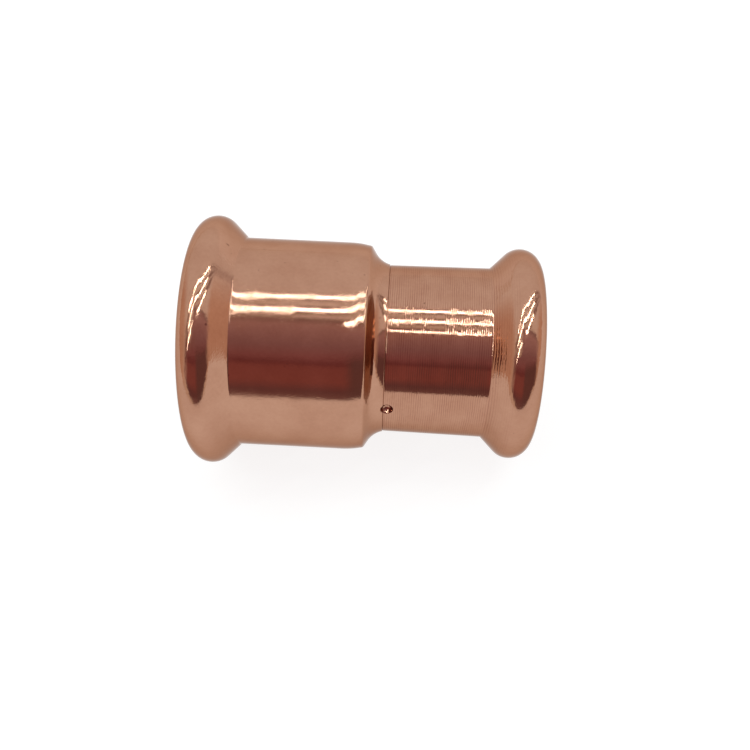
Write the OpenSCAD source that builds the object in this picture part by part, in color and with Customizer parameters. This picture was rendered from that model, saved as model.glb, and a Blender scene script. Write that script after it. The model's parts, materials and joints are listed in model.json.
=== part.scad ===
// Reducing coupling for press-fitted copper tube: one drawn copper body with
// a socket at each end, and an O-ring seal held in the rolled bead of each
// socket. The axis runs along X, with the large socket towards -X. The origin
// is on the axis, in the plane where the large tube's end comes to rest.

/* [Tubes] */
// Outer diameter of the large tube
large_tube_d = 28; // [23.3:0.1:42]
// Outer diameter of the small tube
small_tube_d = 22; // [15:0.1:26.4]
// Radial gap between a tube and its socket
socket_gap = 0.15; // [0.05:0.01:0.3]

/* [Depths] */
// From the large end's lip to the stop shoulder
large_socket_depth = 24.6; // [16:0.1:40]
// From the small end's lip to the stop step
small_socket_depth = 20.35; // [14:0.05:36]

/* [Walls] */
// Wall of the large socket and its bead
large_wall = 1.35; // [1:0.05:1.65]
// Wall of the small socket and its bead
small_wall = 1.5; // [1.25:0.05:1.8]
// Wall of the turned neck behind the small socket
neck_wall = 1.4; // [1.1:0.05:1.7]
// How much smaller in radius the neck's bore is than the small socket's
neck_taper = 0.1; // [0.05:0.01:0.3]

/* [Shoulder] */
// Slope of the shoulder, measured from the axis
shoulder_slope = 58; // [35:1:70]
// Radius of the hollow where the shoulder meets the neck
neck_fillet = 3.5; // [1:0.1:4.5]
// Radius on the outer edge of the shoulder
shoulder_edge = 0.6; // [0.1:0.05:0.7]
// From the line where the turned neck starts to the end of that hollow
turning_lead = 0.85; // [0.2:0.05:1]
// From the end of that hollow to the small tube's stop
neck_run = 0.95; // [0.1:0.05:3]

/* [Seals] */
// Diameter of the seals' round section
seal_section = 3; // [2.4:0.1:3.6]
// Radial gap between a tube and its seal before pressing
seal_tube_gap = 0.1; // [0.02:0.01:0.3]
// Gap between a seal and the chamber round it
seal_chamber_gap = 0.05; // [0.02:0.01:0.15]

/* [Beads] */
// Slope of a bead's inner flank, measured from the axis
flank_slope = 45; // [38:1:55]
// How far the lip curls round its seal, measured from the crest
lip_curl = 115; // [105:1:120]

/* [Stop dimples] */
// Number of punched stops round the neck
dimple_count = 2; // [1:1:4]
// Height of the first stop above the front, as an angle round the axis
dimple_angle = 16; // [0:1:359]
// Radius of the punch
dimple_radius = 0.9; // [0.6:0.05:1]
// How far a stop stands into the bore
dimple_rise = 0.6; // [0.4:0.05:0.9]

/* [Hidden] */
$fn = 128;
// How far joined shapes run into each other, and cuts run past what they cut
spill = 1;
// How nearly a straight slope is tangent to its round: it crosses the round a
// hair inside, so that the two meet along one clean edge
tangency = 0.998;
// How far a slope is sunk below the surface that it runs down to
sink = 0.4;
// The most of the shoulder's drop that its outer edge takes, and its rounds take
edge_share = 0.25;
round_limit = 0.9;
// The most of the hollow's radius that the turned line lies from the hollow's end
lead_share = 0.5;
// How far the punch's centre stays outside the neck
crater_lift = 0.1;
// How much larger in radius a stop's bump is than the punch that raised it
bump_growth = 0.5;
// How far a bump stays behind the end of the small socket's bore
bump_margin = 0.02;

large_tube_r = large_tube_d / 2;
small_tube_r = small_tube_d / 2;
large_bore_r = large_tube_r + socket_gap;
small_bore_r = small_tube_r + socket_gap;
neck_bore_r = small_bore_r - neck_taper;
large_outer_r = large_bore_r + large_wall;
small_outer_r = small_bore_r + small_wall;
neck_outer_r = neck_bore_r + neck_wall;

seal_r = seal_section / 2;
chamber_r = seal_r + seal_chamber_gap;
large_seal_r = large_tube_r + seal_tube_gap + seal_r;
small_seal_r = small_tube_r + seal_tube_gap + seal_r;
large_bead_r = chamber_r + large_wall;
small_bead_r = chamber_r + small_wall;

// The shoulder's rounds are limited by the drop from the socket to the neck
outer_drop = large_outer_r - neck_outer_r;
inner_drop = large_bore_r - neck_bore_r;
edge_r = min(shoulder_edge, outer_drop * edge_share);
round_share = round_limit / (1 - cos(shoulder_slope));
outer_fillet_r = min(neck_fillet, (outer_drop - edge_r) * round_share);
inner_round_r = min(neck_fillet + neck_wall, inner_drop * round_share);

// Inside, the slope runs from the large tube's stop at X = 0 into a round
inner_centre_r = neck_bore_r + inner_round_r;
inner_end_r = inner_centre_r - tangency * inner_round_r * cos(shoulder_slope);
inner_end_x = (large_bore_r - inner_end_r) / tan(shoulder_slope);
inner_centre_x = inner_end_x + tangency * inner_round_r * sin(shoulder_slope);

// Outside, the slope lies one neck wall away, between the edge and the hollow
slope_x = neck_wall * sin(shoulder_slope);
slope_r = large_bore_r + neck_wall * cos(shoulder_slope);
outer_centre_r = neck_outer_r + outer_fillet_r;
outer_end_r = outer_centre_r - tangency * outer_fillet_r * cos(shoulder_slope);
outer_end_x = slope_x + (slope_r - outer_end_r) / tan(shoulder_slope);
outer_centre_x = outer_end_x + tangency * outer_fillet_r * sin(shoulder_slope);
edge_centre_r = large_outer_r - tangency * edge_r;
edge_end_r = edge_centre_r + tangency * edge_r * cos(shoulder_slope);
edge_end_x = slope_x + (slope_r - edge_end_r) / tan(shoulder_slope);
edge_centre_x = edge_end_x - tangency * edge_r * sin(shoulder_slope);

// Places along the axis
turned_x = outer_centre_x - min(turning_lead, outer_fillet_r * lead_share);
small_stop_x = max(inner_centre_x, outer_centre_x) + neck_run;
small_lip_x = small_stop_x + small_socket_depth;
small_seal_x = small_lip_x - small_bead_r;
large_seal_x = large_bead_r - large_socket_depth;

// The punched stops: a crater outside and a bump of the same punch inside
crater_centre_r = neck_outer_r + crater_lift;
bump_r = dimple_radius + bump_growth;
bump_centre_r = neck_bore_r - dimple_rise + bump_r;
bump_reach = sqrt(pow(bump_r, 2) - pow(bump_centre_r - small_bore_r, 2));
dimple_x = small_stop_x - bump_reach - bump_margin;

copper = [0.74, 0.50, 0.40];
seal_rubber = [0.08, 0.08, 0.09];

// Corners of a bead's flank, as [radius, distance from the seal's plane]: where
// it leaves a round, and where it is sunk below a surface of radius foot_r
function flank_start(centre_r, round_r) = [
    centre_r + tangency * round_r * cos(flank_slope),
    tangency * round_r * sin(flank_slope),
];
function flank_end(start, foot_r) = [
    foot_r - sink,
    start[1] + (start[0] - foot_r + sink) / tan(flank_slope),
];

// Half section of a bead's outside: x is the radius, y runs in from the lip
module bead_outline(centre_r, round_r, foot_r) {
    start = flank_start(centre_r, round_r);
    end = flank_end(start, foot_r);
    translate([centre_r, 0]) circle(r = round_r);
    polygon([
        [0, 0],
        [centre_r, 0],
        start,
        end,
        [0, end[1]],
    ]);
}

// Half section of the space inside a bead: the chamber, the flank and the mouth
module bead_hollow(centre_r, bore_r, outside_r) {
    start = flank_start(centre_r, chamber_r);
    end = flank_end(start, bore_r);
    reach = outside_r + spill;
    translate([centre_r, 0]) circle(r = chamber_r);
    polygon([
        [0, -reach],
        [centre_r + reach * cos(lip_curl), -reach * sin(lip_curl)],
        [centre_r, 0],
        start,
        end,
        [0, end[1]],
    ]);
}

// Half section of the outside, from the large bead to the small bead
module outside_section() {
    translate([0, large_seal_x])
        bead_outline(large_seal_r, large_bead_r, large_outer_r);
    polygon([
        [0, large_seal_x],
        [large_outer_r, large_seal_x],
        [large_outer_r, edge_centre_x],
        [0, edge_centre_x],
    ]);
    translate([edge_centre_r, edge_centre_x]) circle(r = edge_r);
    difference() {
        polygon([
            [0, edge_centre_x - spill],
            [edge_centre_r, edge_centre_x - spill],
            [edge_centre_r, edge_centre_x],
            [edge_end_r, edge_end_x],
            [outer_end_r, outer_end_x],
            [outer_centre_r, turned_x],
            [neck_bore_r, turned_x],
            [neck_bore_r, turned_x + spill],
            [0, turned_x + spill],
        ]);
        translate([outer_centre_r, outer_centre_x]) circle(r = outer_fillet_r);
    }
    polygon([
        [0, turned_x],
        [neck_outer_r, turned_x],
        [small_outer_r, small_seal_x - small_bead_r],
        [small_outer_r, small_seal_x],
        [0, small_seal_x],
    ]);
    translate([0, small_seal_x])
        mirror([0, 1])
        bead_outline(small_seal_r, small_bead_r, small_outer_r);
}

// Half section of a bore of one radius
module bore_section(bore_r, from_x, to_x) {
    translate([0, from_x]) square([bore_r, to_x - from_x]);
}

// Half section of the way through, from one mouth to the other
module inside_section() {
    translate([0, large_seal_x])
        bead_hollow(large_seal_r, large_bore_r, large_bead_r);
    bore_section(large_bore_r, large_seal_x, 0);
    difference() {
        polygon([
            [0, -spill],
            [neck_bore_r, -spill],
            [large_bore_r, 0],
            [inner_end_r, inner_end_x],
            [inner_centre_r, inner_centre_x],
            [0, inner_centre_x],
        ]);
        translate([inner_centre_r, inner_centre_x]) circle(r = inner_round_r);
    }
    polygon([
        [0, 0],
        [neck_bore_r, 0],
        [neck_bore_r, inner_centre_x],
        [small_bore_r, small_stop_x],
        [0, small_stop_x],
    ]);
    bore_section(small_bore_r, small_stop_x, small_seal_x);
    translate([0, small_seal_x])
        mirror([0, 1])
        bead_hollow(small_seal_r, small_bore_r, small_bead_r);
}

// Turns what lies along Z to lie along X
module along_x() {
    rotate([0, 90, 0]) children();
}

// Puts its children at each punched stop: radius out from the axis, on Z along it
module at_dimples(radius) {
    for (k = [0 : dimple_count - 1])
        rotate([0, 0, -90 - dimple_angle - k * 360 / dimple_count])
            translate([radius, 0, dimple_x])
            children();
}

// The bumps inside the neck, cut off half way through its wall
module stop_bumps() {
    intersection() {
        at_dimples(bump_centre_r) sphere(r = bump_r);
        translate([0, 0, dimple_x - bump_r - spill])
            cylinder(r = neck_bore_r + neck_wall / 2, h = 2 * (bump_r + spill));
    }
}

module coupling_body() {
    color(copper) along_x() difference() {
        union() {
            rotate_extrude() difference() {
                outside_section();
                inside_section();
            }
            stop_bumps();
        }
        at_dimples(crater_centre_r) sphere(r = dimple_radius);
    }
}

module seal_ring(centre_r, centre_x) {
    color(seal_rubber)
        along_x()
        rotate_extrude()
        translate([centre_r, centre_x])
        circle(r = seal_r);
}

module large_seal_ring() {
    seal_ring(large_seal_r, large_seal_x);
}

module small_seal_ring() {
    seal_ring(small_seal_r, small_seal_x);
}

coupling_body();
large_seal_ring();
small_seal_ring();
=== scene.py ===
"""Looks for a copper press coupling that reduces a 28 mm tube to a 22 mm tube.

The axis is X, and X = 0 is where the large tube stops. Lengths here are in millimetres
and angles in degrees; MM turns a length into Blender's metres.
"""
import json
import math

import bpy
from mathutils import Matrix, Vector


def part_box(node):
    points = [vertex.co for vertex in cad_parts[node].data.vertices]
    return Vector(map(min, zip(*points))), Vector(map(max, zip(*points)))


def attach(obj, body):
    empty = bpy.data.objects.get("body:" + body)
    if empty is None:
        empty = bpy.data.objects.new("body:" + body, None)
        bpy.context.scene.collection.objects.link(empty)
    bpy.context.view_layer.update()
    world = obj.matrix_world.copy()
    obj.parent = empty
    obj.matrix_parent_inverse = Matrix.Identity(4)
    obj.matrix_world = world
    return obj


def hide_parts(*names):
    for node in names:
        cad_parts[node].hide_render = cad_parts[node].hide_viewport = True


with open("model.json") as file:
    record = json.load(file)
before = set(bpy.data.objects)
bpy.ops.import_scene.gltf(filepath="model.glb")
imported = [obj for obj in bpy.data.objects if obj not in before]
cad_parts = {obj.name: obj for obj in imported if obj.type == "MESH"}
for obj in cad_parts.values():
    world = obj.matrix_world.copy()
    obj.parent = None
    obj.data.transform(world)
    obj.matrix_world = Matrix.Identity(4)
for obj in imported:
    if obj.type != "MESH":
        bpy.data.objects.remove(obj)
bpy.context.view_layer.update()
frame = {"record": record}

MM = 0.001

# The beads: how far a lip curls round its seal, and the flank's slope and rounded foot
SEAL_CHAMBER_GAP = 0.05
LIP_CURL = 115
LIP_ROUND = 0.3
FLANK_SLOPE = 45
FLANK_FOOT_ROUND = 0.35
BORE_ROUND = 0.4

# The shoulder, and the last of the large socket, which drawing rolled down to its edge
SHOULDER_SLOPE = 58
SHOULDER_EDGE_ROUND = 0.6
SHOULDER_ROLL_RUN = 3.4
SHOULDER_ROLL_DROP = 0.35
SHOULDER_ROLL_POWER = 2.6
SHOULDER_ROLL_STEPS = 10

# The neck. It is turned from a fine groove to this angle on the small bead's flank side
NECK_WALL = 1.4
NECK_TAPER = 0.1
NECK_FILLET = 3.5
NECK_RUN = 0.95
TURNING_LEAD = 0.85
TURNING_GROOVE_WIDTH = 0.14
TURNING_GROOVE_DEPTH = 0.07
TURNED_BEAD_ANGLE = -12
TURNING_PITCH = 0.31

# The punched tube stops: a crater outside, and the bump that it raises inside
STOP_COUNT = 2
STOP_ANGLE = 16
CRATER_RADIUS = 0.9
CRATER_LIFT = 0.1
CRATER_BLEND = 0.06
BUMP_RADIUS = 1.4
BUMP_RISE = 0.6
BUMP_BLEND = 0.25
STOP_REACH = 1.6

# How fine the meshes are, in millimetres between rings and degrees between columns
OUTSIDE_GAP = 0.6
BORE_GAP = 1.2
CRATER_GAP = 0.085
COLUMN_ANGLE = 2.5
STOP_COLUMN_ANGLE = 0.4
STOP_COLUMN_REACH = 7.2
ARC_STEP = 4
ROUNDING = 0.01
SEAL_STEPS = 80
SEAL_COLUMNS = 180

# The thin line of flash that the mould leaves round a seal's bore
FLASH_HEIGHT = 0.035
FLASH_ANGLE = 9

# The camera looks down at the coupling's front from near its middle
CAMERA_ELEVATION = 60
CAMERA_DISTANCE = 142.83
CAMERA_SIDE = 5.3
CAMERA_PAN = 1.01
CAMERA_TILT = -5.6
CAMERA_ROLL = -2.79
CAMERA_LENS = 45.02
CAMERA_SHIFT = 0.0867


def socket_sizes(body, mount, seal):
    """One socket's sizes, from its body, bore and seal in the frame."""
    seal_low, seal_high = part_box(seal)
    body_low, body_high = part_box(body)
    seal_x = (seal_low.x + seal_high.x) / 2 / MM
    seal_r = (seal_high.x - seal_low.x) / 2 / MM
    outward = 1 if seal_x > (body_low.x + body_high.x) / 2 / MM else -1
    lip_x = (body_high.x if outward > 0 else body_low.x) / MM
    bore = next(m for m in frame["record"]["mounts"] if m["name"] == mount)
    bead_r = abs(lip_x - seal_x)
    chamber_r = seal_r + SEAL_CHAMBER_GAP
    return {
        "outward": outward,
        "seal_x": seal_x,
        "seal_r": seal_r,
        "seal_centre_r": seal_high.z / MM - seal_r,
        "bead_r": bead_r,
        "chamber_r": chamber_r,
        "bore_r": bore["dims"]["r_mm"],
        "outer_r": bore["dims"]["r_mm"] + bead_r - chamber_r,
        "stop_x": bore["pos_m"][0] / MM,
    }


large = socket_sizes("coupling_body", "large_socket", "large_seal_ring")
small = socket_sizes("coupling_body", "small_socket", "small_seal_ring")
neck_bore_r = small["bore_r"] - NECK_TAPER
neck_outer_r = neck_bore_r + NECK_WALL
neck_centre_r = neck_outer_r + NECK_FILLET
inner_round_r = neck_centre_r - neck_bore_r
neck_x = small["stop_x"] - NECK_RUN
turned_x = neck_x - TURNING_LEAD


# ---------------------------------------------------------------- outlines
def sin(angle):
    return math.sin(math.radians(angle))


def cos(angle):
    return math.cos(math.radians(angle))


def tan(angle):
    return math.tan(math.radians(angle))


def arc(centre, radius, start, end, outward=1):
    """Points (x, r) of an arc. Angles are from the radial direction towards outward."""
    steps = max(2, round(abs(end - start) / ARC_STEP))
    angles = [start + (end - start) * k / steps for k in range(steps + 1)]
    return [
        (centre[0] + outward * radius * sin(a), centre[1] + radius * cos(a))
        for a in angles
    ]


def rounded(before, corner, after, radius):
    """Points of the round that takes the corner between two straight stretches."""
    into = (Vector(corner) - Vector(before)).normalized()
    out = (Vector(after) - Vector(corner)).normalized()
    turn = into.angle(out)
    run = radius * math.tan(turn / 2)
    start, end = Vector(corner) - into * run, Vector(corner) + out * run
    steps = max(2, round(math.degrees(turn) / ARC_STEP / 2))
    middle = Vector(corner)
    shares = [k / steps for k in range(steps + 1)]
    return [
        tuple(start * (1 - t) ** 2 + middle * 2 * t * (1 - t) + end * t**2)
        for t in shares
    ]


def lip(socket):
    """The cut edge of a bead's curled lip, from its outer corner to its inner one."""
    x, r = socket["seal_x"], socket["seal_centre_r"]
    outer = socket["bead_r"] - LIP_ROUND
    inner = socket["chamber_r"] + LIP_ROUND
    outer_angle = LIP_CURL - math.degrees(math.asin(LIP_ROUND / outer))
    inner_angle = LIP_CURL - math.degrees(math.asin(LIP_ROUND / inner))
    side = socket["outward"]
    outer_centre = (x + side * outer * sin(outer_angle), r + outer * cos(outer_angle))
    inner_centre = (x + side * inner * sin(inner_angle), r + inner * cos(inner_angle))
    return (
        arc(outer_centre, LIP_ROUND, outer_angle, LIP_CURL + 90, side)
        + arc(inner_centre, LIP_ROUND, LIP_CURL + 90, inner_angle + 180, side),
        outer_angle,
        inner_angle,
    )


def bead(socket, radius, lip_angle, foot_r):
    """A bead's round and flank, from the lip to the foot, and where the foot is."""
    x, r, side = socket["seal_x"], socket["seal_centre_r"], socket["outward"]
    points = arc((x, r), radius, lip_angle, -FLANK_SLOPE, side)
    flank_x, flank_r = points[-1]
    foot = (flank_x - side * (flank_r - foot_r) / tan(FLANK_SLOPE), foot_r)
    return points, foot


def outside_stretches():
    """The outside from the large lip to the small lip, as (finish, points)."""
    large_bead, large_foot = bead(large, large["bead_r"], lip(large)[1], large["outer_r"])
    slope_x = NECK_WALL * sin(SHOULDER_SLOPE)
    slope_r = large["bore_r"] + NECK_WALL * cos(SHOULDER_SLOPE)
    edge = (slope_x + (slope_r - large["outer_r"]) / tan(SHOULDER_SLOPE), large["outer_r"])
    roll = shoulder_roll(edge)
    drop = SHOULDER_ROLL_DROP
    rolled_edge = (edge[0] + drop / tan(SHOULDER_SLOPE), edge[1] - drop)
    fillet = [
        (neck_x - NECK_FILLET * sin(a), neck_centre_r - NECK_FILLET * cos(a))
        for a in fillet_angles(NECK_FILLET, TURNING_LEAD)
    ]
    groove = (turned_x + TURNING_GROOVE_WIDTH / 4, neck_outer_r - TURNING_GROOVE_DEPTH)
    step = (turned_x + TURNING_GROOVE_WIDTH, neck_outer_r)
    small_bead, small_foot = bead(small, small["bead_r"], lip(small)[1], small["outer_r"])
    marked = round((FLANK_SLOPE + TURNED_BEAD_ANGLE) / ARC_STEP)
    return [
        ("polished", large_bead),
        ("drawn", rounded(large_bead[-1], large_foot, edge, FLANK_FOOT_ROUND)),
        ("drawn", roll),
        ("drawn", rounded(roll[-1], rolled_edge, fillet[0], SHOULDER_EDGE_ROUND)),
        ("polished", fillet),
        ("turned", [groove, step]),
        ("turned", rounded(step, small_foot, small_bead[-1], FLANK_FOOT_ROUND)),
        ("turned", small_bead[: -marked - 1 : -1]),
        ("polished", small_bead[-marked - 1 :: -1]),
    ]


def shoulder_roll(edge):
    """The last of the large socket, where drawing rolled it gently down to its edge."""
    shares = [k / SHOULDER_ROLL_STEPS for k in range(SHOULDER_ROLL_STEPS)]
    return [
        (
            edge[0] - SHOULDER_ROLL_RUN * (1 - t),
            edge[1] - SHOULDER_ROLL_DROP * t**SHOULDER_ROLL_POWER,
        )
        for t in shares
    ]


def fillet_angles(radius, lead):
    """Angles along the neck's round, from the shoulder's slope to lead before its end."""
    last = math.degrees(math.asin(lead / radius))
    steps = round((SHOULDER_SLOPE - last) / ARC_STEP)
    return [SHOULDER_SLOPE + (last - SHOULDER_SLOPE) * k / steps for k in range(steps + 1)]


def inside_stretches():
    """The inside from the small lip back to the large lip, as (finish, points)."""
    small_chamber, small_foot = bead(small, small["chamber_r"], lip(small)[2], small["bore_r"])
    large_chamber, large_foot = bead(large, large["chamber_r"], lip(large)[2], large["bore_r"])
    stop = (small["stop_x"], small["bore_r"])
    round_points = [
        (neck_x - inner_round_r * sin(a), neck_centre_r - inner_round_r * cos(a))
        for a in reversed(fillet_angles(inner_round_r, 0))
    ]
    corner = (large["stop_x"], large["bore_r"])
    return [
        ("bore", small_chamber),
        ("bore", rounded(small_chamber[-1], small_foot, stop, BORE_ROUND)),
        ("bore", [stop]),
        ("bore", round_points),
        ("bore", rounded(round_points[-1], corner, large_foot, BORE_ROUND)),
        ("bore", rounded(corner, large_foot, large_chamber[-1], BORE_ROUND)),
        ("bore", large_chamber[::-1]),
    ]


def shares_along(start, end, gap, fine_x):
    """Shares of a straight stretch to put points at, closer together near fine_x."""
    length = math.dist(start, end)
    steps = max(1, math.ceil(length / gap - ROUNDING))
    fine = math.ceil(length / CRATER_GAP)
    shares = {k / steps for k in range(steps)}
    near = [
        k / fine
        for k in range(fine)
        if abs(start[0] + (end[0] - start[0]) * k / fine - fine_x[0]) < fine_x[1]
    ]
    if near:
        shares = {t for t in shares if t < near[0] or t > near[-1]} | {0.0, *near}
    return sorted(shares)


def spaced(points, finishes, gap, fine_x):
    """The same outline with more points. fine_x is where they are closest, and its reach."""
    made, labels = [], []
    for start, end, finish in zip(points, points[1:], finishes[1:]):
        for t in shares_along(start, end, gap, fine_x):
            made.append(tuple(a + (b - a) * t for a, b in zip(start, end)))
            labels.append(finish)
    return made, labels


def column_angles():
    """Angles round the axis, up from the front, closer together at the tube stops."""
    stops = [STOP_ANGLE + k * 360 / STOP_COUNT for k in range(STOP_COUNT)]

    def off_stop(angle):
        return min(abs((angle - s + 180) % 360 - 180) for s in stops)

    coarse = [k * COLUMN_ANGLE for k in range(round(360 / COLUMN_ANGLE))]
    columns = [a for a in coarse if off_stop(a) > STOP_COLUMN_REACH + STOP_COLUMN_ANGLE / 2]
    steps = round(STOP_COLUMN_REACH / STOP_COLUMN_ANGLE)
    for s in stops:
        columns += [(s + k * STOP_COLUMN_ANGLE) % 360 for k in range(-steps, steps + 1)]
    return sorted(columns)


# ---------------------------------------------------------------- meshes
def around(x, r, angle):
    """The point at a radius and an angle round the axis, up from the front."""
    return (x, -r * cos(angle), r * sin(angle))


def turned_mesh(name, outline, labels, columns, finishes, shape):
    """A closed outline turned about X. shape gives the point of (ring, x, r, angle)."""
    verts = []
    for ring, (x, r) in enumerate(outline):
        verts += [[c * MM for c in shape(ring, x, r, a)] for a in columns]
    rings, wide = len(outline), len(columns)
    faces, slots = [], []
    for ring in range(rings):
        low, high = ring * wide, (ring + 1) % rings * wide
        for k in range(wide):
            nxt = (k + 1) % wide
            faces.append((low + k, low + nxt, high + nxt, high + k))
            slots.append(finishes.index(labels[ring]))
    mesh = bpy.data.meshes.new(name)
    mesh.from_pydata(verts, [], faces)
    mesh.polygons.foreach_set("material_index", slots)
    mesh.shade_smooth()
    mesh.update()
    return placed(name, mesh)


def placed(name, data):
    """A new object in the scene with this data."""
    made = bpy.data.objects.new(name, data)
    bpy.context.scene.collection.objects.link(made)
    return made


def soft_min(a, b, blend):
    """The smaller of two heights, rounded where they meet."""
    return min(a, b) - max(blend - abs(a - b), 0) ** 2 / (4 * blend)


def pressed(x, r, angle, centre, radius, blend):
    """A surface point after a round punch has pressed the wall in at each tube stop."""
    for k in range(STOP_COUNT):
        stop = STOP_ANGLE + k * 360 / STOP_COUNT
        turn = (angle - stop + 180) % 360 - 180
        across, height = r * sin(turn), r * cos(turn)
        off = math.hypot(x - centre[0], across)
        if abs(turn) < 90 and off < radius:
            punch = centre[1] - math.sqrt(radius**2 - off**2)
            height = soft_min(height, punch, blend)
            return (
                x,
                -height * cos(stop) + across * sin(stop),
                height * sin(stop) + across * cos(stop),
            )
    return around(x, r, angle)


def body_piece():
    """The copper body, in one mesh."""
    bump_centre_r = neck_bore_r - BUMP_RISE + BUMP_RADIUS
    reach = math.sqrt(BUMP_RADIUS**2 - (bump_centre_r - small["bore_r"]) ** 2)
    stop_x = small["stop_x"] - reach
    crater = (stop_x, neck_outer_r + CRATER_LIFT)
    bump = (stop_x, bump_centre_r)
    large_lip, small_lip = lip(large)[0], lip(small)[0]
    outer = [("lip", large_lip[::-1])] + outside_stretches() + [("lip", small_lip)]
    inner = inside_stretches()

    def ring_points(stretches, following, gap, fine_reach):
        """The points and finishes of some stretches, up to the point that follows them."""
        points = [p for _, stretch in stretches for p in stretch]
        finishes = [finish for finish, stretch in stretches for _ in stretch]
        return spaced(points + [following], finishes + ["lip"], gap, (stop_x, fine_reach))

    outer_points, outer_labels = ring_points(
        outer, inner[0][1][0], OUTSIDE_GAP, CRATER_RADIUS + CRATER_LIFT)
    inner_points, inner_labels = ring_points(inner, outer[0][1][0], BORE_GAP, BUMP_RADIUS)

    def shape(ring, x, r, angle):
        if abs(x - stop_x) > STOP_REACH:
            return around(x, r, angle)
        if ring < len(outer_points):
            return pressed(x, r, angle, crater, CRATER_RADIUS, CRATER_BLEND)
        return pressed(x, r, angle, bump, BUMP_RADIUS, BUMP_BLEND)

    return turned_mesh(
        "copper_body", outer_points + inner_points, outer_labels + inner_labels,
        column_angles(), list(COPPER_FINISHES), shape)


def seal_piece(name, socket):
    """A rubber sealing ring, with the fine flash that its mould leaves round it."""
    outline = []
    for k in range(SEAL_STEPS):
        a = k * 360 / SEAL_STEPS
        r = socket["seal_r"] + FLASH_HEIGHT * max(0, 1 - abs(a - 180) / FLASH_ANGLE)
        outline.append((socket["seal_x"] + r * sin(a), socket["seal_centre_r"] + r * cos(a)))
    columns = [k * 360 / SEAL_COLUMNS for k in range(SEAL_COLUMNS)]
    return turned_mesh(
        name, outline, ["rubber"] * len(outline), columns, ["rubber"],
        lambda ring, x, r, angle: around(x, r, angle))


# ---------------------------------------------------------------- materials
class Nodes:
    """A node tree, with short ways to add and join nodes."""

    def __init__(self, tree):
        self.tree = tree

    def add(self, kind, **inputs):
        node = self.tree.nodes.new("ShaderNode" + kind)
        for key, value in inputs.items():
            self.put(node.inputs[key.replace("_", " ")], value)
        return node

    def put(self, socket, value):
        if isinstance(value, bpy.types.NodeSocket):
            self.tree.links.new(value, socket)
        else:
            socket.default_value = value

    def maths(self, operation, *values):
        node = self.add("Math")
        node.operation = operation
        for socket, value in zip(node.inputs, values):
            self.put(socket, value)
        return node.outputs[0]

    def times(self, *values):
        """The product of some values."""
        product = values[0]
        for value in values[1:]:
            product = self.maths("MULTIPLY", product, value)
        return product

    def without(self, value):
        """One less a value."""
        return self.maths("SUBTRACT", 1.0, value)

    def size(self, value):
        """A value without its sign."""
        return self.maths("ABSOLUTE", value)

    def spread(self, value, low, high, to_low=0.0, to_high=1.0):
        """A value moved from the range low..high to another range."""
        node = self.add(
            "MapRange", Value=value, From_Min=low, From_Max=high, To_Min=to_low, To_Max=to_high)
        return node.outputs["Result"]

    def step(self, value, low, high):
        """A smooth step from 0 to 1 as a value goes from low to high."""
        node = self.add("MapRange", Value=value, From_Min=low, From_Max=high)
        node.interpolation_type = "SMOOTHSTEP"
        return node.outputs["Result"]

    def mix(self, share, first, second):
        """A colour between two, by a share of the second."""
        node = self.add("Mix")
        node.data_type = "RGBA"
        colours = [socket for socket in node.inputs if socket.type == "RGBA"]
        for socket, value in zip([node.inputs["Factor"], *colours], (share, first, second)):
            self.put(socket, value)
        return next(socket for socket in node.outputs if socket.type == "RGBA")


class Surface(Nodes):
    """A material's nodes. Its textures are placed and sized in millimetres."""

    def __init__(self, name):
        self.material = bpy.data.materials.new(name)
        self.material.use_nodes = True
        super().__init__(self.material.node_tree)
        self.shader = self.tree.nodes["Principled BSDF"]

    def set(self, **inputs):
        for key, value in inputs.items():
            self.put(self.shader.inputs[key.replace("_", " ")], value)

    def place(self, stretch=(1, 1, 1)):
        """The surface point, with the pattern squeezed along the axes by stretch."""
        point = self.add("TexCoord").outputs["Object"]
        return self.add("Mapping", Vector=point, Scale=[s / MM for s in stretch]).outputs["Vector"]

    def noise(self, scale, detail, stretch=(1, 1, 1)):
        """Noise with scale cells to the millimetre."""
        node = self.add("TexNoise", Vector=self.place(stretch), Scale=scale, Detail=detail)
        return node.outputs["Fac"]

    def bump(self, height, depth, normal=None):
        """The normal bent by a height from 0 to 1 that stands for depth, over another normal."""
        node = self.add("Bump", Strength=1.0, Distance=depth * MM, Height=height)
        if normal is not None:
            self.put(node.inputs["Normal"], normal)
        return node.outputs["Normal"]


COPPER_LIGHT = (0.475, 0.260, 0.175, 1)
COPPER_DEEP = (0.415, 0.212, 0.139, 1)
COPPER_RIM = (0.62, 0.52, 0.47, 1)
COPPER_SPECK = (0.14, 0.05, 0.032, 1)
# Painted shade, with some dirt, in the bottoms of the turning grooves
GROOVE_SHADE_AND_DIRT = (0.27, 0.10, 0.07, 1)
RUBBER_DARK = (0.012, 0.012, 0.013, 1)
RUBBER_WORN = (0.03, 0.03, 0.032, 1)

PATCH_SHARE = 0.65
SPECK_SHARE = 0.55
# How strongly the painted groove shade and dirt darken the copper
GROOVE_SHADE_AND_DIRT_SHARE = 0.55


def copper(name, roughness, waves):
    """Copper with its patches, specks, haze and broad waves, and the waves' normal."""
    n = Surface(name)
    patches = n.spread(n.noise(0.22, 3.0), 0.35, 0.65)
    grain = n.spread(n.noise(2.2, 3.0), 0.3, 0.7)
    tone = n.maths("MULTIPLY_ADD", grain, 1 - PATCH_SHARE, n.times(patches, PATCH_SHARE))
    colour = n.mix(tone, COPPER_DEEP, COPPER_LIGHT)
    specks = n.spread(n.noise(1.3, 1.0), 0.78, 0.80)
    colour = n.mix(n.times(specks, SPECK_SHARE), colour, COPPER_SPECK)
    haze = n.spread(n.noise(0.5, 4.0), 0.35, 0.7, roughness * 0.8, roughness * 1.35)
    n.set(Metallic=1.0, Specular_Tint=COPPER_RIM, Base_Color=colour, Roughness=haze)
    return n, n.bump(n.noise(0.9, 1.0), waves)


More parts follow.
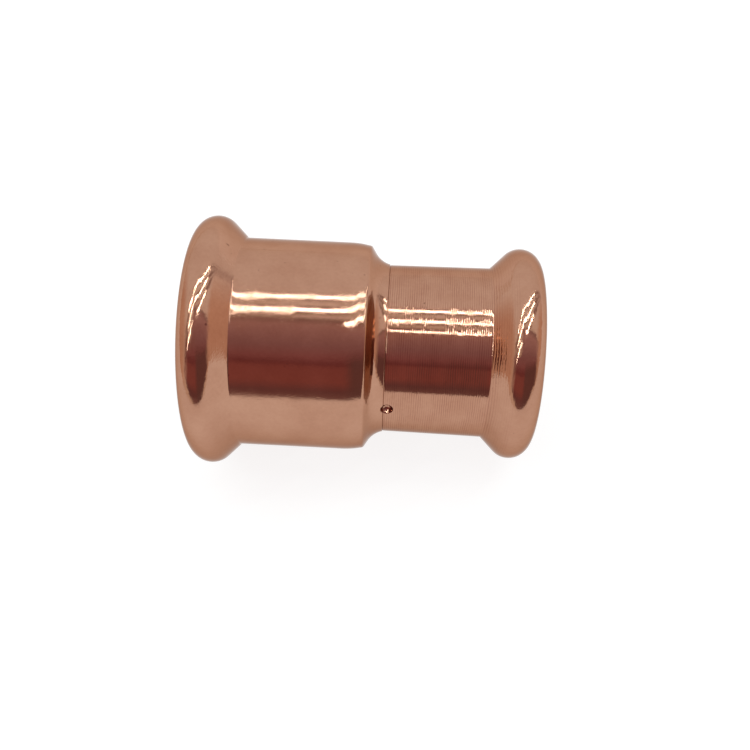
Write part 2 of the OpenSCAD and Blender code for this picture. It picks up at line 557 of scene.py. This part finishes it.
def polished_copper():
    """The beads and the shoulder's hollow, polished across with a fine unevenness left."""
    n, normal = copper("copper_polished", 0.09, 0.010)
    normal = n.bump(n.noise(1.0, 1.0, (4, 1, 1)), 0.009, normal)
    n.set(Normal=n.bump(n.noise(2.6, 1.0), 0.006, normal))
    return n.material


def drawn_copper():
    """The large socket, with the fine pebbling of drawn metal, stronger in patches."""
    n, normal = copper("copper_drawn", 0.08, 0.004)
    patches = n.spread(n.noise(0.3, 2.0), 0.4, 0.62, 0.35, 1.0)
    pebbles = n.times(n.noise(4.2, 2.0, (1.5, 1, 1)), patches)
    n.set(Normal=n.bump(pebbles, 0.013, normal))
    return n.material


def turned_copper():
    """The neck, with a wandering line of turning marks that fades on the small bead, and painted
    shade, with some dirt, darkening the bottoms of their grooves.
    """
    n, normal = copper("copper_turned", 0.075, 0.004)
    x = n.add("SeparateXYZ", Vector=n.place()).outputs[0]
    wander = n.noise(0.6, 2.0, (1, 0.5, 0.5))
    turns = n.maths("MULTIPLY_ADD", wander, 0.9, n.maths("DIVIDE", x, TURNING_PITCH))
    ridge = n.maths("SINE", n.times(turns, 2 * math.pi))
    foot_x = small["seal_x"] - small["bead_r"]
    faded = n.spread(x, foot_x - 1, foot_x, 1.0, 0.3)
    depth = n.spread(n.noise(0.9, 2.0, (1, 0.3, 0.3)), 0.35, 0.65, 0.25, 1.0)
    depth = n.times(depth, faded)
    normal = n.bump(n.times(ridge, depth), 0.005, normal)
    normal = n.bump(n.noise(4.0, 1.0, (1, 0.03, 0.03)), 0.005, normal)
    normal = n.bump(n.noise(2.2, 1.5, (3.5, 1, 1)), 0.006, normal)
    # The grooves' bottoms are darkened: painted shade, with some dirt in them
    groove = n.times(n.spread(ridge, -1.0, 0.2, 1.0, 0.0), n.times(depth, GROOVE_SHADE_AND_DIRT_SHARE))
    colour = n.shader.inputs["Base Color"].links[0].from_socket
    n.set(Base_Color=n.mix(groove, colour, GROOVE_SHADE_AND_DIRT), Normal=normal)
    return n.material


def bore_copper():
    """The inside, left as it was drawn, with faint marks along the axis."""
    n, normal = copper("copper_bore", 0.3, 0.006)
    n.set(Normal=n.bump(n.noise(2.5, 3.0, (0.25, 1, 1)), 0.006, normal))
    return n.material


def lip_copper():
    """The cut edges of the lips."""
    n, normal = copper("copper_lip", 0.24, 0.01)
    n.set(Normal=n.bump(n.noise(3.0, 3.0), 0.012, normal))
    return n.material


COPPER_FINISHES = {
    "polished": polished_copper,
    "drawn": drawn_copper,
    "turned": turned_copper,
    "bore": bore_copper,
    "lip": lip_copper,
}


def seal_rubber():
    """Black rubber, a little dusty, with a fine grain."""
    n = Surface("rubber_seal")
    n.set(
        Base_Color=n.mix(n.spread(n.noise(0.5, 3.0), 0.35, 0.65), RUBBER_DARK, RUBBER_WORN),
        Roughness=n.spread(n.noise(1.6, 3.0), 0.3, 0.7, 0.32, 0.55),
        Normal=n.bump(n.noise(6.0, 2.0), 0.006))
    return n.material


# ---------------------------------------------------------------- studio
# The table, and the ceiling's height above the coupling, in metres
TABLE_HALF = 6.0
TABLE_GREY = (0.20, 0.20, 0.20, 1)
TABLE_ROUGHNESS = 0.6
TABLE_GLOW = 0.86
CEILING = 1.0

# The lamps hang in rows, in shares of the ceiling's height. Seen from above, each row
# crosses x = 0 at its own y, at a small angle, and turns more steeply beyond the bends.
ROW_YAW = 10.5
BENT_YAW = 36
BEND_X = 0.15
BACK_Y, MIDDLE_Y, FRONT_Y = 0.42, 0.14, -0.12
LAMP_ROWS = {
    "strip_back": (BACK_Y, [(-0.8, -BEND_X), (-BEND_X, BEND_X), (BEND_X, 1.1)]),
    "strip_middle": (MIDDLE_Y, [(-0.8, -BEND_X), (-BEND_X, BEND_X), (BEND_X, 0.9)]),
    "strip_front": (FRONT_Y, [(-1.1, -0.34), (0.0, BEND_X), (BEND_X, 0.75)]),
}
LAMP_WIDTH = 0.020
LAMP_RADIANCE = 27.0
LAMP_COLOUR = (0.86, 1.0, 1.0)

# The room's tones. Its edges fade from one angle to another, in degrees: of height up
# from the front, or of side towards the small socket.
WHITE = (1.0, 1.0, 1.0, 1)
WALL_TONE = (0.92, 0.84, 0.76, 1)
SIDE_WALL_TONE = (0.84, 0.62, 0.50, 1)
CEILING_RISE = (60.0, 120.0)
SIDE_WALL_RISE = (48.0, 72.0)

# The housings beside the lamps. Their width is in shares of the ceiling's height.
HOUSING_TONE = (0.30, 0.19, 0.18, 1)
HOUSING_WIDTH = 0.17
HOUSING_EDGE = (0.35, 0.65)
HOUSING_END = (48.0, 60.0)
HOUSING_SHARE = 0.85
LEAST_RISE = 0.05

# The darker side of the room, from the table's level (0) to overhead (1). A new ramp
# already has its first marks.
START_MARKS = 2
DARK_SPAN = 90.0
DARK_BOTTOM = (-7.0, -2.0)
DARK_BOTTOM_RISE = 0.3
DARK_TOP = (86.0, 91.0)
DARK_TOP_DROP = 30.0
DARK_DROP_SIDE = (-20.0, -14.0)
DARK_LARGE_END = (-62.0, -36.0)
DARK_SMALL_END = (56.0, 80.0)
DARK_SIDE = (
    (0.00, (0.30, 0.18, 0.18)),
    (0.10, (0.22, 0.11, 0.12)),
    (0.22, (0.36, 0.135, 0.13)),
    (0.40, (0.35, 0.13, 0.13)),
    (0.44, (0.24, 0.08, 0.09)),
    (0.52, (0.36, 0.16, 0.18)),
    (0.66, (0.38, 0.23, 0.26)),
    (0.90, (0.56, 0.38, 0.40)),
    (0.96, (0.36, 0.25, 0.26)),
)
SHADED_TONE = (0.20, 0.115, 0.12, 1)
SHADED_SIDE = (-2.0, 14.0)
SHADED_TOP = (40.0, 58.0)
SHADED_SHARE = 0.9


def floor_plane():
    """A pale table that both beads rest on. It glows, and it's tilted to touch both."""
    across = small["seal_x"] - large["seal_x"]
    up = large["seal_centre_r"] - small["seal_centre_r"]
    smaller = small["bead_r"] - large["bead_r"]
    slope = math.atan2(up, across) - math.asin(smaller / math.hypot(across, up))
    touch = Vector((
        large["seal_x"] + large["bead_r"] * math.sin(slope), 0,
        -large["seal_centre_r"] - large["bead_r"] * math.cos(slope)))
    mesh = bpy.data.meshes.new("table_top")
    corners = [(x * TABLE_HALF, y * TABLE_HALF, 0) for x, y in ((-1, -1), (1, -1), (1, 1), (-1, 1))]
    mesh.from_pydata(corners, [], [(0, 1, 2, 3)])
    floor = placed("table_top", mesh)
    floor.matrix_world = Matrix.Translation(touch * MM) @ Matrix.Rotation(-slope, 4, "Y")
    n = Surface("table_white")
    n.set(Base_Color=TABLE_GREY, Roughness=TABLE_ROUGHNESS, Specular_IOR_Level=0.0)
    n.set(Emission_Color=WHITE, Emission_Strength=TABLE_GLOW)
    mesh.materials.append(n.material)


def row_y(y, x):
    """How far back a row of lamps is at x, where it crosses x = 0 at y."""
    beyond = max(abs(x) - BEND_X, 0)
    return y + x * tan(ROW_YAW) + math.copysign(beyond * (tan(BENT_YAW) - tan(ROW_YAW)), x)


def strip_lamp(name, start, end):
    """A long soft lamp on the ceiling between two places in its plan."""
    data = bpy.data.lights.new(name, "AREA")
    data.shape = "RECTANGLE"
    data.size = (end - start).length
    data.size_y = LAMP_WIDTH
    data.energy = LAMP_RADIANCE * math.pi * data.size * data.size_y
    data.color = LAMP_COLOUR
    lamp = placed(name, data)
    middle = (start + end) / 2 * CEILING
    lamp.location = (middle.x, middle.y, CEILING)
    lamp.rotation_euler = (0, 0, math.atan2(end.y - start.y, end.x - start.x))


def lights():
    for name, (y, lamps) in LAMP_ROWS.items():
        for k, ends in enumerate(lamps):
            start, end = [Vector((x, row_y(y, x))) for x in ends]
            strip_lamp(f"{name}_{k + 1}", start, end)


def dark_share(n, height, side):
    """Where the darker side of the room is: in front, from the table to overhead."""
    beside = n.without(n.step(side, *DARK_DROP_SIDE))
    over = n.maths("ADD", height, n.times(beside, DARK_TOP_DROP))
    under = n.maths("SUBTRACT", height, n.times(n.size(side), DARK_BOTTOM_RISE))
    between = n.times(n.step(under, *DARK_BOTTOM), n.without(n.step(over, *DARK_TOP)))
    ends = n.times(n.step(side, *DARK_LARGE_END), n.without(n.step(side, *DARK_SMALL_END)))
    return n.times(between, ends)


def dark_tone(n, height, side):
    """The darker side's colour, deeper low down on the small socket's side."""
    ramp = n.add("ValToRGB", Fac=n.maths("DIVIDE", height, DARK_SPAN))
    marks = ramp.color_ramp.elements
    for k, (at, tone) in enumerate(DARK_SIDE):
        mark = marks[k] if k < START_MARKS else marks.new(at)
        mark.position = at
        mark.color = (*tone, 1)
    low = n.without(n.step(height, *SHADED_TOP))
    shaded = n.times(n.step(side, *SHADED_SIDE), low, SHADED_SHARE)
    return n.mix(shaded, ramp.outputs["Color"], SHADED_TONE)


def housing_share(n, x, y, z, side):
    """Where the dark housings beside the lamps are."""
    overhead = n.maths("MAXIMUM", z, LEAST_RISE)
    along = n.maths("DIVIDE", x, overhead)
    across = n.maths("DIVIDE", y, overhead)
    beyond = n.maths("MAXIMUM", n.maths("SUBTRACT", n.size(along), BEND_X), 0.0)
    beyond = n.times(beyond, n.maths("SIGN", along))
    line = n.maths("SUBTRACT", across, n.times(along, tan(ROW_YAW)))
    line = n.maths("SUBTRACT", line, n.times(beyond, tan(BENT_YAW) - tan(ROW_YAW)))
    edge = [HOUSING_WIDTH * share for share in HOUSING_EDGE]
    housing = 0.0
    for row in (BACK_Y, MIDDLE_Y, FRONT_Y):
        off = n.size(n.maths("SUBTRACT", line, row))
        near = n.without(n.step(off, *edge))
        housing = n.maths("MAXIMUM", housing, near)
    return n.times(housing, n.without(n.step(n.size(side), *HOUSING_END)), HOUSING_SHARE)


def room():
    """Pale walls and ceiling, with the darker side of the room in front of the table.

    The copper reflects this room and the table takes its light, but the camera sees
    white in its place.

    height is a direction's angle about X, up from the front and over to the back, and
    side is its angle towards +X.
    """
    world = bpy.data.worlds.new("room")
    world.use_nodes = True
    world.node_tree.nodes.clear()
    n = Nodes(world.node_tree)
    x, y, z = n.add("SeparateXYZ", Vector=n.add("TexCoord").outputs["Generated"]).outputs
    degrees = 180 / math.pi
    height = n.times(n.maths("ARCTAN2", z, n.times(y, -1.0)), degrees)
    side = n.times(n.maths("ARCSINE", x), degrees)
    pale = n.mix(n.step(height, *CEILING_RISE), WALL_TONE, WHITE)
    pale = n.mix(n.step(n.size(side), *SIDE_WALL_RISE), pale, SIDE_WALL_TONE)
    pale = n.mix(housing_share(n, x, y, z, side), pale, HOUSING_TONE)
    seen = n.mix(dark_share(n, height, side), pale, dark_tone(n, height, side))
    colour = n.mix(n.add("LightPath").outputs["Is Camera Ray"], seen, WHITE)
    background = n.add("Background", Color=colour)
    n.add("OutputWorld", Surface=background.outputs[0])
    bpy.context.scene.world = world


def camera():
    """The camera, turned from looking at the origin by its pan, tilt and roll."""
    data = bpy.data.cameras.new("camera")
    data.lens = CAMERA_LENS
    data.shift_y = CAMERA_SHIFT
    data.clip_start = 0.01
    cam = placed("camera", data)
    turn = Matrix.Rotation(math.radians(-CAMERA_ELEVATION), 4, "X")
    for angle, axis in ((CAMERA_PAN, "Z"), (CAMERA_TILT, "X"), (CAMERA_ROLL, "Y"), (90, "X")):
        turn = turn @ Matrix.Rotation(math.radians(angle), 4, axis)
    back = Vector((
        CAMERA_SIDE,
        -CAMERA_DISTANCE * cos(CAMERA_ELEVATION),
        CAMERA_DISTANCE * sin(CAMERA_ELEVATION)))
    cam.matrix_world = Matrix.Translation(back * MM) @ turn
    bpy.context.scene.camera = cam


# ---------------------------------------------------------------- assembly
def assemble():
    body = body_piece()
    for make in COPPER_FINISHES.values():
        body.data.materials.append(make())
    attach(body, "root")
    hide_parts("coupling_body")
    rubber = seal_rubber()
    for name, socket, node in (
            ("large_sealing_ring", large, "large_seal_ring"),
            ("small_sealing_ring", small, "small_seal_ring")):
        ring = seal_piece(name, socket)
        ring.data.materials.append(rubber)
        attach(ring, "root")
        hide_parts(node)


assemble()
floor_plane()
lights()
room()
camera()
bpy.context.scene.view_settings.view_transform = "Standard"
